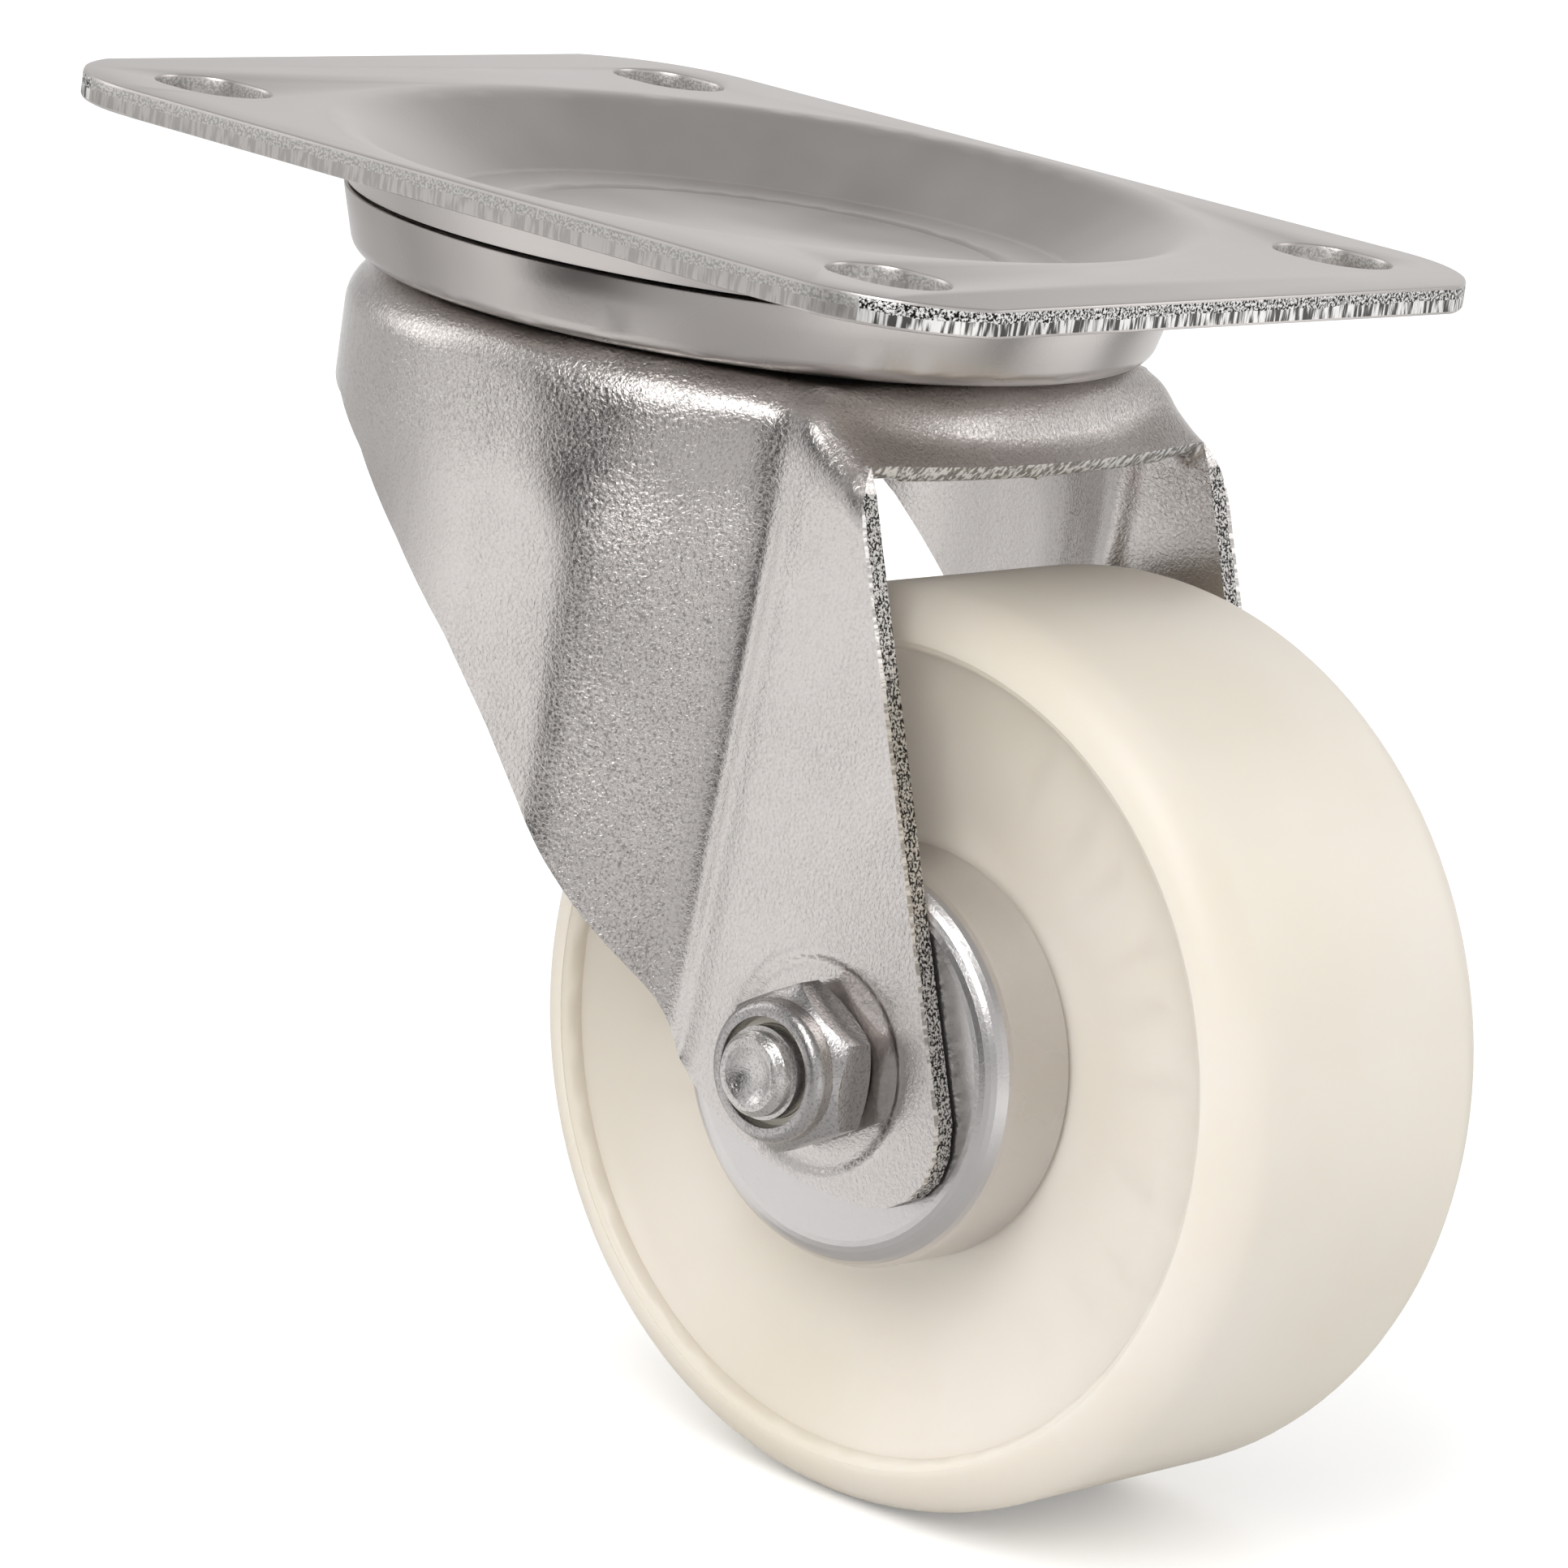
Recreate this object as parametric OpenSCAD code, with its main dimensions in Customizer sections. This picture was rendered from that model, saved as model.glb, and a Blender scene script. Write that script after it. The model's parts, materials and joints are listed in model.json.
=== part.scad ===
// Swivel plate castor: pressed fork, double ball race swivel head and a one-piece
// polyamide wheel on two ball bearings.
//
// Frame: origin at the centre of the top plate's upper face, on the swivel axis.
// +Z points up out of the plate, X runs along the plate's long side, the wheel
// trails towards +X and its axle lies along Y with the lock nut on the -Y side.
// Every length is in millimetres.

/* [Overall size] */
// Wheel diameter
wheel_d = 80; // [75:0.5:85]
// Wheel width over the side faces
wheel_w = 36; // [32:0.5:40]
// Plate top to floor
total_h = 108; // [104:0.5:112]
// Swivel axis to wheel axle, measured along X
trail = 40; // [36:0.5:44]

/* [Top plate] */
// Plate length along X
plate_l = 106; // [100:0.5:112]
// Plate width along Y
plate_w = 82; // [78:0.5:88]
// Plate sheet thickness
plate_t = 2.5; // [2:0.1:3.5]
// Corner arc radius
corner_r = 14; // [10:0.5:18]
// Hole spacing along X
hole_dx = 80; // [76:0.5:84]
// Hole spacing along Y
hole_dy = 60; // [56:0.5:64]
// Slot width
slot_w = 9; // [8:0.5:10]
// Slot length, end to end
slot_l = 11; // [9:0.5:14]

/* [Swivel head] */
// Depth of the king pin disc below the plate's top
disc_z = 6.1; // [5:0.1:7]
// Radius of the king pin's flat disc
disc_r = 22.3; // [18:0.1:24]
// Thickness of the king pin's flat disc
disc_t = 1.8; // [1.2:0.1:2.5]
// King pin shank radius
pin_r = 6; // [5:0.5:8]
// Slope of the dish's wall, which the upper balls bear on, degrees
dish_slope = 34; // [30:1:38]
// Upper ball diameter
ball_d = 4; // [3.5:0.5:5]
// Number of upper balls
ball_count = 42; // [30:1:48]
// Lower ball diameter
low_ball_d = 5; // [4:0.5:6]
// Lower ball circle radius
low_ring_r = 15; // [13:0.5:17]
// Number of lower balls
low_ball_count = 16; // [12:1:18]
// Seal ring radius at its upper rim
seal_top_r = 37.2; // [36:0.1:38]
// Seal ring radius at its foot
seal_foot_r = 35.6; // [34:0.1:37]
// Seal ring sheet thickness
seal_t = 1; // [0.8:0.1:1.5]

/* [Fork] */
// Fork sheet thickness
fork_t = 2.3; // [2:0.1:3]
// Height of the crown's top below the plate's top
crown_z = 12; // [11:0.1:13]
// Crown radius
crown_r = 34.9; // [33:0.1:37]
// Crown centre, shifted back from the swivel axis
crown_back = 1.2; // [0:0.1:2]
// Height of the rear rim below the plate's top
rim_z = 22.7; // [21:0.1:25]
// Crown shoulder radius
shoulder_r = 4.5; // [3:0.5:6]
// Half width over the flat legs
leg_y = 24.8; // [23:0.1:27]
// Slope of the front shelf, degrees
shelf_slope = 34; // [25:1:50]
// Lip height below the plate's top
lip_z = 18.2; // [16:0.1:20]
// Lip reach in front of the swivel axis
lip_x = 36; // [34:0.1:38]

/* [Axle and wheel hub] */
// Axle bolt radius
bolt_r = 4; // [3:0.5:5]
// Nut and bolt head size across flats
across_flats = 13; // [12:0.5:14]
// Axle sleeve outer radius
sleeve_r = 5; // [4.5:0.5:6]
// Dust cap radius
cap_r = 18; // [16:0.5:20]
// Bearing outer radius
bearing_r = 13; // [12:0.5:15]
// Bearing width
bearing_w = 8; // [7:0.5:9]

/* [Hidden] */
$fn = 64;
eps = 0.01;
wheel_r = wheel_d / 2;
axle_z = wheel_r - total_h;
seat_gap = 0.3;             // stand-off left between two pieces that bear on each other
disc_seat_z = disc_z + disc_t + 0.2;
leg_in = leg_y - fork_t;    // inner face of the flat leg
seal_foot_z = crown_z - seat_gap;
seal_top_z = 5.6;
low_ball_z = crown_z + fork_t + low_ball_d / 2 + 0.02;
race_t = 1.8;               // lower race sheet
race_z = low_ball_z + low_ball_d / 2 + 0.03 + race_t / 2;
pin_foot_z = race_z + race_t / 2 + seat_gap;
cap_out = leg_in - seat_gap;
cap_t = 0.9;
cap_in = 13;                // the cap's skirt ends here, just off the wheel's web
sleeve_end = cap_out - cap_t - seat_gap;
hub_r = cap_r - cap_t - 0.35;
hub_y = 20.6;
bearing_in_r = 7.2;
bearing_out_r = 10.6;
ball_pitch_r = (bearing_in_r + bearing_out_r) / 2;
bearing_y = hub_y - bearing_w / 2;
nut_h = 6.6;
bolt_tip_y = leg_y + nut_h + 1.9;
groove_y = 3.9;             // the nut's groove for its plastic insert, above the nut's foot
groove_w = 1.4;

// Helpers

function unit(v) = v / norm(v);
function left_of(v) = [-v.y, v.x];
function cross2(a, b) = a.x * b.y - a.y * b.x;

// Where the line through p along u meets the line through q along v.
function meet(p, u, q, v) = p + u * (cross2(q - p, v) / cross2(u, v));

// One bend of a path at b between a and c: start, centre and end of its arc.
function bend_at(a, b, c, r) =
  let (u = unit(b - a), v = unit(c - b), half = acos(u * v) / 2,
       run = r * tan(half), side = sign(cross2(u, v)))
  [b - u * run, b - u * run + side * r * left_of(u), b + v * run];

// Points along the arc from one point to another round a centre, both ends included.
function arc(centre, from, to, steps) =
  let (a = atan2((from - centre).y, (from - centre).x),
       turn = atan2(cross2(from - centre, to - centre), (from - centre) * (to - centre)))
  [for (i = [0:1:steps]) centre + norm(from - centre) * [cos(a + turn * i / steps),
                                                         sin(a + turn * i / steps)]];

// A path with each inner corner rounded to its radius.
function rounded(path, radii, steps = 8) =
  let (last = len(path) - 1)
  [path[0],
   for (i = [1:1:last - 1])
     let (b = bend_at(path[i - 1], path[i], path[i + 1], radii[i - 1]))
     for (p = arc(b[1], b[0], b[2], steps)) p,
   path[last]];

// One side of a rounded path, set off by d to its left.
function beside(path, d) =
  let (last = len(path) - 1)
  [for (i = [0:1:last])
     let (u = i == 0 ? unit(path[1] - path[0]) : unit(path[i] - path[i - 1]),
          v = i == last ? u : unit(path[i + 1] - path[i]),
          m = unit(left_of(u) + left_of(v)))
     path[i] + m * d / (m * left_of(u))];

// Sheet of thickness t that follows a path, seen on edge. Each inner corner of the
// path is bent to its radius, measured to the middle of the sheet.
module sheet(path, radii, t) {
  line = rounded(path, radii);
  back = beside(line, -t / 2);
  polygon(concat(beside(line, t / 2), [for (i = [len(back) - 1:-1:0]) back[i]]));
}

// A block from z = -depth up to z = 0 with a rounded outer top edge, ready to revolve.
module shoulder_profile(r, edge_r, depth) {
  translate([0, -depth]) square([r - edge_r, depth]);
  translate([0, -depth]) square([r, depth - edge_r]);
  translate([r - edge_r, -edge_r]) circle(edge_r);
}

module tube(r_out, r_in, h) {
  difference() {
    cylinder(r = r_out, h = h);
    translate([0, 0, -1]) cylinder(r = r_in, h = h + 2);
  }
}

// Puts a piece drawn along +Z on the axle, its base at y and its top towards +Y.
module on_axle(y) {
  translate([trail, y, axle_z]) rotate([-90, 0, 0]) children();
}

// The near side is the nut's side, -Y. The far side is its mirror image.
module near_side() { mirror([0, 1, 0]) children(); }

// The swivel head

module plate_outline() {
  arc_x = plate_l / 2 - corner_r * 0.957;
  arc_y = plate_w / 2 - corner_r;
  difference() {
    intersection() {
      union() {
        square([2 * arc_x, plate_w], center = true);
        square([plate_l, 2 * arc_y], center = true);
        for (sx = [-1, 1], sy = [-1, 1]) translate([sx * arc_x, sy * arc_y]) circle(corner_r);
      }
      square([plate_l, plate_w + 2], center = true);
    }
    for (sx = [-1, 1], sy = [-1, 1]) translate([sx * hole_dx / 2, sy * hole_dy / 2]) slot();
    circle(dish_r);
  }
}

module slot() {
  run = (slot_l - slot_w) / 2;
  square([2 * run, slot_w], center = true);
  for (s = [-1, 1]) translate([s * run, 0]) circle(slot_w / 2);
}

// Section of the upper race, in [radius, height]: the seal ring's wall, the balls in
// its corner, and the dish's sloping wall that bears on them from above.
ring_wall = unit([seal_top_r - seal_foot_r, seal_foot_z - seal_top_z]);
ball_reach = ball_d / 2 + 0.02;
ball_at = meet([0, seal_t + ball_reach - seal_foot_z], [1, 0],
               [seal_foot_r, -seal_foot_z] + left_of(ring_wall) * (seal_t + ball_reach),
               ring_wall);
dish_wall = [cos(dish_slope), sin(dish_slope)];
dish_on_ball = ball_at + left_of(dish_wall) * (ball_d / 2 + seat_gap + plate_t / 2);
dish_bend = 5;
dish_rim = meet(dish_on_ball, dish_wall, [0, -plate_t / 2], [1, 0]);
dish_foot = meet(dish_on_ball, dish_wall, [0, -plate_t / 2 - disc_z + 0.2], [1, 0]);
dish_r = dish_rim.x + dish_bend * tan(dish_slope / 2) + 0.1;

// The dish is pressed down in one slope and ends in the flat seat of the pin's disc.
module top_plate() color("silver") {
  m = plate_t / 2;
  translate([0, 0, -plate_t]) linear_extrude(plate_t) plate_outline();
  rotate_extrude()
    sheet([[dish_r, -m], dish_rim, dish_foot, [disc_r + 1.3, -m - disc_z],
           [disc_r + 0.4, -m - disc_seat_z], [pin_r + 0.05, -m - disc_seat_z]],
          [dish_bend, 3, 1.35, 1.35], plate_t);
}

// The pin's wide flat disc, chamfered below, lies in the dish, its shank clamps the bush
// and the lower race, and its foot is riveted over below the race.
module king_pin() color("gainsboro") {
  rotate_extrude() difference() {
    union() {
      translate([0, -disc_z - disc_t])
        polygon([[0, 0], [disc_r - 0.9, 0], [disc_r - 0.2, 0.7], [disc_r - 0.2, disc_t], [0, disc_t]]);
      translate([0, -pin_foot_z - 1]) square([pin_r, pin_foot_z + 1 - disc_z - 0.5]);
      translate([0, -pin_foot_z - 1.6]) square([pin_r + 2.6, 1.6]);
      intersection() {
        translate([0, -pin_foot_z + 4.8]) circle(9.2);
        translate([0, -pin_foot_z - 5]) square([pin_r + 2.6, 4]);
      }
    }
    translate([-20, -40]) square([20, 40]);
  }
}

module pivot_bush() color("dimgray") {
  top = plate_t + disc_seat_z + seat_gap;
  foot = race_z - race_t / 2 - seat_gap;
  translate([0, 0, -foot]) tube(8.2, pin_r + 0.05, foot - top);
}

module lower_race() color("silver") {
  rotate_extrude()
    sheet([[pin_r + 0.05, -race_z], [low_ring_r + 1.35, -race_z],
           [low_ring_r + 6.1, -race_z + 4.45]], [3.6], race_t);
}

module ring_of_balls(count, ring_r, d, z) {
  for (i = [0:1:count - 1]) rotate([0, 0, i * 360 / count]) translate([ring_r, 0, z])
    sphere(d = d, $fn = 32);
}

module upper_balls() color("lightgray") {
  ring_of_balls(ball_count, ball_at.x, ball_d, ball_at.y);
}

module lower_balls() color("lightgray") {
  ring_of_balls(low_ball_count, low_ring_r, low_ball_d, -low_ball_z);
}

// Tapered seal ring: an open cup that stands on the crown and closes the upper race.
module seal_ring() color("silver") {
  foot = seal_t / 2 - seal_foot_z;
  inward = left_of(ring_wall) * seal_t / 2;
  rotate_extrude()
    sheet([[27.4, foot],
           meet([0, foot], [1, 0], [seal_foot_r, -seal_foot_z] + inward, ring_wall),
           [seal_top_r, -seal_top_z] + inward], [1.6], seal_t);
}

// The fork

// Lines of the fork's outer skin in plan at the crown's top, for +Y: the flat leg, the
// facet that leads from the leg out to the crown, and the side behind it. The facet
// leans inward on its way down, so its two creases run back towards the tail.
leg_crease = [29.4, leg_y];
side_crease = [16.4, 33.4];
rear_point = [-1, 34.7];
facet_lean = 2.2;           // degrees
leg_crease_lean = 3.98;     // degrees, the same lean along the leg and along the side
side_crease_lean = 4.5;
front_r = 83;               // the crown's shallow front curve above the shelf
front_x = 33.9;
hair = 0.03;

// The three lines set in by d, met again at their corners.
function skin(d) =
  let (u1 = unit(side_crease - leg_crease), u2 = unit(rear_point - side_crease),
       p1 = leg_crease + left_of(u1) * d, p2 = side_crease + left_of(u2) * d,
       front = [70, leg_y - d],
       c1 = meet(front, [1, 0], p1, u1), c2 = meet(p1, u1, p2, u2),
       rear = rear_point + left_of(u2) * d)
  [front, c1, c2, rear];

// A long block behind the line through p along u, its top edge rounded over, its
// face leaning inward on the way down.
module shoulder_along(p, u, r, top, lean) {
  translate([p.x, p.y, -crown_z]) rotate([0, 0, atan2(u.y, u.x)]) rotate([lean, 0, 0])
    translate([-80, 0, 0]) rotate([90, 0, 90]) linear_extrude(160) {
      translate([r, -100]) square([70, 100 - top]);
      translate([0, -100]) square([70, 100 - top - r]);
      translate([r, -top - r]) circle(r);
    }
}

// Leans an upright piece over at p, towards -u.
module leaned(p, u, lean) {
  turn = atan2(u.y, u.x);
  translate([p.x, p.y, -crown_z]) rotate([0, 0, turn]) rotate([0, lean, 0])
    rotate([0, 0, -turn]) translate([-p.x, -p.y, 0]) children();
}

// The corner between facet and side, outside its bend radius. The bend stands a hair
// proud of both lines, so that it meets them at an angle.
module side_bend_waste(s, r) {
  b = bend_at(s[1], s[2], s[3], r);
  far = s[2] + (s[2] - b[1]) * 0.5;
  centre = b[1] + unit(s[2] - b[1]) * hair;
  leaned(s[2], s[2] - s[3], side_crease_lean) difference() {
    translate([0, 0, -110]) linear_extrude(130)
      polygon([b[1], b[0] + (b[0] - b[1]) * 0.1, far, b[2] + (b[2] - b[1]) * 0.1]);
    translate([centre.x, centre.y, -120]) cylinder(r = r, h = 150);
  }
}

// The fill of the hollow bend between facet and leg, its ends a hair under their faces.
module leg_bend_fill(s, r) {
  b = bend_at(s[0], s[1], s[2], r);
  sink = unit(s[1] - b[1]) * hair;
  leaned(s[1], [1, 0], leg_crease_lean) translate([sink.x, sink.y, -90])
    linear_extrude(90 - shoulder_r - 0.6) polygon(concat(arc(b[1], b[0], b[2], 8), [s[1] - [0.4, 1.5]]));
}

// The closed form of the fork's skin, set in by d. Two of them make the sheet.
module bell(d) {
  deep = 90;
  s = skin(d);
  r = shoulder_r - d;
  // round crown with its shoulder
  translate([-crown_back, 0, -crown_z - d])
    rotate_extrude() shoulder_profile(crown_r - d, r - 0.15, deep);
  // front of the crown: shallow front curve, facets and sides under one shoulder
  difference() {
    intersection() {
      translate([front_x - front_r, 0, -crown_z - d])
        rotate_extrude($fn = 128) shoulder_profile(front_r - d, r, deep);
      translate([-1, -50, -deep - 20]) cube([60, 100, deep + 20]);
      shoulder_along(s[2], unit(s[2] - s[1]), r, d, facet_lean);
      near_side() shoulder_along(s[2], unit(s[2] - s[1]), r, d, facet_lean);
      shoulder_along(s[2], unit(s[3] - s[2]), r, d, 0);
      near_side() shoulder_along(s[2], unit(s[3] - s[2]), r, d, 0);
    }
    for (side = [0, 1]) mirror([0, side, 0]) side_bend_waste(s, 9 - d);
  }
  for (side = [0, 1]) mirror([0, side, 0]) leg_bend_fill(s, 6 + d);
  // flat legs under the sloping front shelf, its side edges bent over
  intersection() {
    translate([lip_x, 0, -lip_z]) rotate([0, shelf_slope, 0]) translate([-60, 0, 0])
      rotate([90, 0, 90]) linear_extrude(140) shelf_section(d);
    leaned(s[1], [1, 0], leg_crease_lean)
      translate([s[1].x - 0.15, -30, -deep - 10]) cube([60, 60, deep + 30]);
  }
}

// Section across the shelf and both legs: top face at -d, sides at the legs' faces.
module shelf_section(d) {
  w = leg_y - d;
  r = 3.6 - d;
  translate([-w, -90]) square([2 * w, 90 - d - r]);
  translate([-w + r, -90]) square([2 * (w - r), 90 - d]);
  for (s = [-1, 1]) translate([s * (w - r), -d - r]) circle(r);
}

// The fork seen from the side, with heights from the axle. The tail's points are
// [x behind the axle, height], and above the axle both shares of the way to the rim.
rim_h = -axle_z - rim_z;
lip_h = -axle_z - lip_z;
tail_share = [[1.675, 1], [1.525, 0.98], [1.3625, 0.91], [1.175, 0.78], [0.985, 0.627],
              [0.835, 0.477], [0.71, 0.336], [0.595, 0.199], [0.475, 0.053]];
leg_end = [[-15.4, -3], [-13.4, -5.2], [-10.8, -7], [-7.8, -8.4], [-4, -9.6], [0, -10.3],
           [4, -10.5], [7.2, -10.5], [9.8, -9.9], [11.9, -8.6], [13.4, -6.7], [14, -4.4],
           [13.8, -1.6]];

module leg_side() {
  rear = -crown_back - crown_r - 9;
  polygon(concat([[rear, rim_h + 25], [rear, rim_h]],
                 [for (p = tail_share) [trail * (1 - p.x), rim_h * p.y]],
                 [for (p = leg_end) [trail + p.x, p.y]],
                 [[lip_x - 0.3, lip_h - 1.2], [lip_x - 1.1, lip_h + 0.4],
                  [lip_x - 3, lip_h + 20]]));
}

module fork() color("silver") {
  side = leg_in - 0.1;
  difference() {
    intersection() {
      difference() {
        bell(0);
        bell(fork_t);
      }
      union() {
        for (s = [-1, 1]) translate([0, s > 0 ? side + 20 : -side, axle_z])
          rotate([90, 0, 0]) linear_extrude(20) leg_side();
        translate([-45, -side, -rim_z]) cube([90, 2 * side, 30]);
      }
    }
    // the lip is cut square to the shelf's sheet, on a shallow curve
    translate([lip_x, 0, -lip_z]) rotate([0, shelf_slope, 0]) translate([0, 0, -12])
      linear_extrude(24) difference() {
        translate([-8, -side - 0.05]) square([40, 2 * side + 0.1]);
        translate([-200, 0]) circle(200, $fn = 200);
      }
    // pivot opening, axle holes and the coined seats of nut and bolt head
    translate([0, 0, -40]) cylinder(r = 9, h = 40);
    on_axle(-40) cylinder(r = bolt_r + 0.2, h = 80);
    on_axle(-leg_y - 1) cylinder(r1 = 12, r2 = 8.8, h = 1.3);
    on_axle(leg_y - 0.3) cylinder(r1 = 8.8, r2 = 12, h = 1.3);
  }
}

// The wheel and its hub

module wheel_half_profile() {
  half = wheel_w / 2;
  tread = 12.6;
  edge = half - tread;
  web = half - 5.6;
  lip = [wheel_r - 3.9, half - 1.5];
  // rim body with a rounded tread shoulder
  difference() {
    union() {
      translate([0, 0]) square([wheel_r, tread]);
      square([wheel_r - edge, half]);
      translate([wheel_r - edge, tread]) circle(edge);
    }
    // dished side, its rim rolled over
    polygon(concat([[hub_r, half + 1], [hub_r, web], [22, web], [29, web + 1.2],
                    lip - [2.8, 1.4]],
                   arc(lip, lip - [1.2, 0.4], lip + [-0.3, 1.2], 5),
                   [[lip.x - 0.3, half + 1]]));
    translate([-1, -1]) square([bearing_r + 1, half + 6]);
    translate([-1, -10]) square([wheel_r + 10, 10]);
  }
  // hub with the bearing seat
  translate([bearing_r - 0.5, 0]) square([hub_r - bearing_r + 0.5, hub_y - 0.1]);
  translate([9.2, 0]) square([bearing_r - 9.2, hub_y - bearing_w - 0.05]);
}

module wheel() color("ivory") {
  on_axle(0) rotate_extrude($fn = 128) difference() {
    union() {
      wheel_half_profile();
      mirror([0, 1]) wheel_half_profile();
    }
    for (s = [0, 1]) mirror([0, s]) translate([0, hub_y - bearing_w])
      square([bearing_r + 0.01, bearing_w + 2]);
  }
}

module bearing_outer() color("silver") {
  on_axle(bearing_y - bearing_w / 2) difference() {
    tube(bearing_r - 0.02, bearing_out_r, bearing_w);
    race_groove();
    translate([0, 0, bearing_w - 1.3]) cylinder(r = bearing_out_r + 0.5, h = 2);
  }
}

module bearing_inner() color("silver") {
  on_axle(bearing_y - bearing_w / 2) difference() {
    tube(bearing_in_r, sleeve_r + 0.03, bearing_w);
    race_groove();
  }
}

module race_groove() {
  translate([0, 0, bearing_w / 2]) rotate_extrude() translate([ball_pitch_r, 0]) circle(2.45);
}

module bearing_balls() color("lightgray") {
  for (i = [0:6]) on_axle(bearing_y) rotate([0, 0, i * 360 / 7])
    translate([ball_pitch_r, 0, 0]) sphere(r = 2.4, $fn = 32);
}

// Ball cage: a thin crown ring with an open pocket for each ball.
module bearing_cage() color("goldenrod") {
  on_axle(bearing_y) difference() {
    translate([0, 0, -3.1]) tube(ball_pitch_r + 0.7, ball_pitch_r - 0.7, 3.9);
    for (i = [0:6]) rotate([0, 0, i * 360 / 7]) translate([ball_pitch_r, 0, 0]) sphere(r = 2.52, $fn = 32);
  }
}

module bearing_shield() color("gray") {
  on_axle(hub_y - 1.2) tube(bearing_out_r + 0.45, bearing_in_r + 0.3, 0.4);
}

module bearing_outer_far() { bearing_outer(); }
module bearing_outer_near() { near_side() bearing_outer(); }
module bearing_inner_far() { bearing_inner(); }
module bearing_inner_near() { near_side() bearing_inner(); }
module bearing_balls_far() { bearing_balls(); }
module bearing_balls_near() { near_side() bearing_balls(); }
module bearing_cage_far() { bearing_cage(); }
module bearing_cage_near() { near_side() bearing_cage(); }
module bearing_shield_far() { bearing_shield(); }
module bearing_shield_near() { near_side() bearing_shield(); }

module axle_sleeve() color("gray") {
  on_axle(-sleeve_end) tube(sleeve_r, bolt_r + 0.1, 2 * sleeve_end);
}

// Pressed dust cap: a flat face with a rounded shoulder and a skirt over the hub.
module dust_cap() color("silver") {
  m = cap_t / 2;
  on_axle(0) rotate_extrude()
    sheet([[bolt_r + 0.1, cap_out - m], [cap_r - m, cap_out - m], [cap_r - m, cap_in]],
          [2.2], cap_t);
}

module dust_cap_far() { dust_cap(); }
module dust_cap_near() { near_side() dust_cap(); }

module hex(af, h) { rotate([0, 0, 0]) cylinder(d = af / cos(30), h = h, $fn = 6); }

// Axle bolt: hexagon head on the far side, stepped and dimpled tip on the near side.
module axle_bolt() color("gainsboro") {
  on_axle(0) difference() {
    union() {
      intersection() {
        translate([0, 0, leg_y]) rotate([0, 0, 30]) hex(across_flats, 5.3);
        translate([0, 0, leg_y - 4]) cylinder(r1 = 14, r2 = 6.1, h = 9.4);
      }
      translate([0, 0, -bolt_tip_y + 1.6]) cylinder(r = bolt_r, h = bolt_tip_y - 1.6 + leg_y + 1);
      translate([0, 0, -bolt_tip_y + 0.7]) cylinder(r = bolt_r - 0.35, h = 2);
      translate([0, 0, -bolt_tip_y]) cylinder(r1 = bolt_r - 0.9, r2 = bolt_r - 0.35, h = 0.7 + eps);
    }
    translate([0, 0, -bolt_tip_y - 4.2]) sphere(r = 4.9, $fn = 48);
  }
}

// Prevailing torque nut: hexagon with a chamfered foot and a round rolled collar.
module lock_nut() color("gainsboro") {
  collar_r = 6.1;
  hex_h = 4.6;
  near_side() on_axle(leg_y) difference() {
    union() {
      intersection() {
        rotate([0, 0, 30]) hex(across_flats, hex_h);
        rotate_extrude() polygon([[0, 0], [5.9, 0], [7.6, 1.1], [7.6, hex_h - 1.3],
                                  [collar_r, hex_h], [0, hex_h]]);
      }
      rotate_extrude() {
        translate([0, hex_h - 1]) square([collar_r, nut_h - hex_h]);
        translate([0, hex_h - 1]) square([collar_r - 1, nut_h - hex_h + 1]);
        translate([collar_r - 1, nut_h - 1]) circle(1);
      }
    }
    translate([0, 0, -1]) cylinder(r = bolt_r + 0.05, h = 20);
    translate([0, 0, groove_y]) cylinder(r = 5.2, h = groove_w);
    translate([0, 0, groove_y + groove_w - eps]) cylinder(r1 = 4.6, r2 = 5, h = 4);
  }
}

module nut_insert() color("whitesmoke") {
  near_side() on_axle(leg_y + groove_y + 0.05) tube(5.15, bolt_r + 0.05, groove_w - 0.1);
}

top_plate();
king_pin();
pivot_bush();
lower_race();
upper_balls();
lower_balls();
seal_ring();
fork();
wheel();
bearing_outer_near();
bearing_outer_far();
bearing_inner_near();
bearing_inner_far();
bearing_balls_near();
bearing_balls_far();
bearing_cage_near();
bearing_cage_far();
bearing_shield_near();
bearing_shield_far();
axle_sleeve();
dust_cap_near();
dust_cap_far();
axle_bolt();
lock_nut();
nut_insert();
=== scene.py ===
"""Looks of a swivel plate castor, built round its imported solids. Lengths are in metres where
no name or comment says mm."""

import json
from math import cos, pi, radians, sin

import bpy
from mathutils import Matrix, Vector
from mathutils.kdtree import KDTree


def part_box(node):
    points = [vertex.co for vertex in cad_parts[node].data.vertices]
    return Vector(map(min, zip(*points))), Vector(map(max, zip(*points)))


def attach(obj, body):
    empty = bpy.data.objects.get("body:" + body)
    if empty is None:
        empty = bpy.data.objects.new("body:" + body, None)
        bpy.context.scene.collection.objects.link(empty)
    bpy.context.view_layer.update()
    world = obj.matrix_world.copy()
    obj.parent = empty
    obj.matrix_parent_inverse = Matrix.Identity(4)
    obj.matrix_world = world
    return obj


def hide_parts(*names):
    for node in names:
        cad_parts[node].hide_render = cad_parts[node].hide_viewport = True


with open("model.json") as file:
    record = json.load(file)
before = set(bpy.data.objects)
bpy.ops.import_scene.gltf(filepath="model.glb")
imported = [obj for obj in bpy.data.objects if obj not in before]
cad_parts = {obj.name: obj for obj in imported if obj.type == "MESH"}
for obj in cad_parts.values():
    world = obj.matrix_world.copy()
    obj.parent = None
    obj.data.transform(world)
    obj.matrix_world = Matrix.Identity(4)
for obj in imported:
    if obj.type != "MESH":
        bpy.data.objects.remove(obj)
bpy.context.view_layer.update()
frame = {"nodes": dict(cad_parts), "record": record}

MM = 0.001
UM = 1e-6

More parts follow.
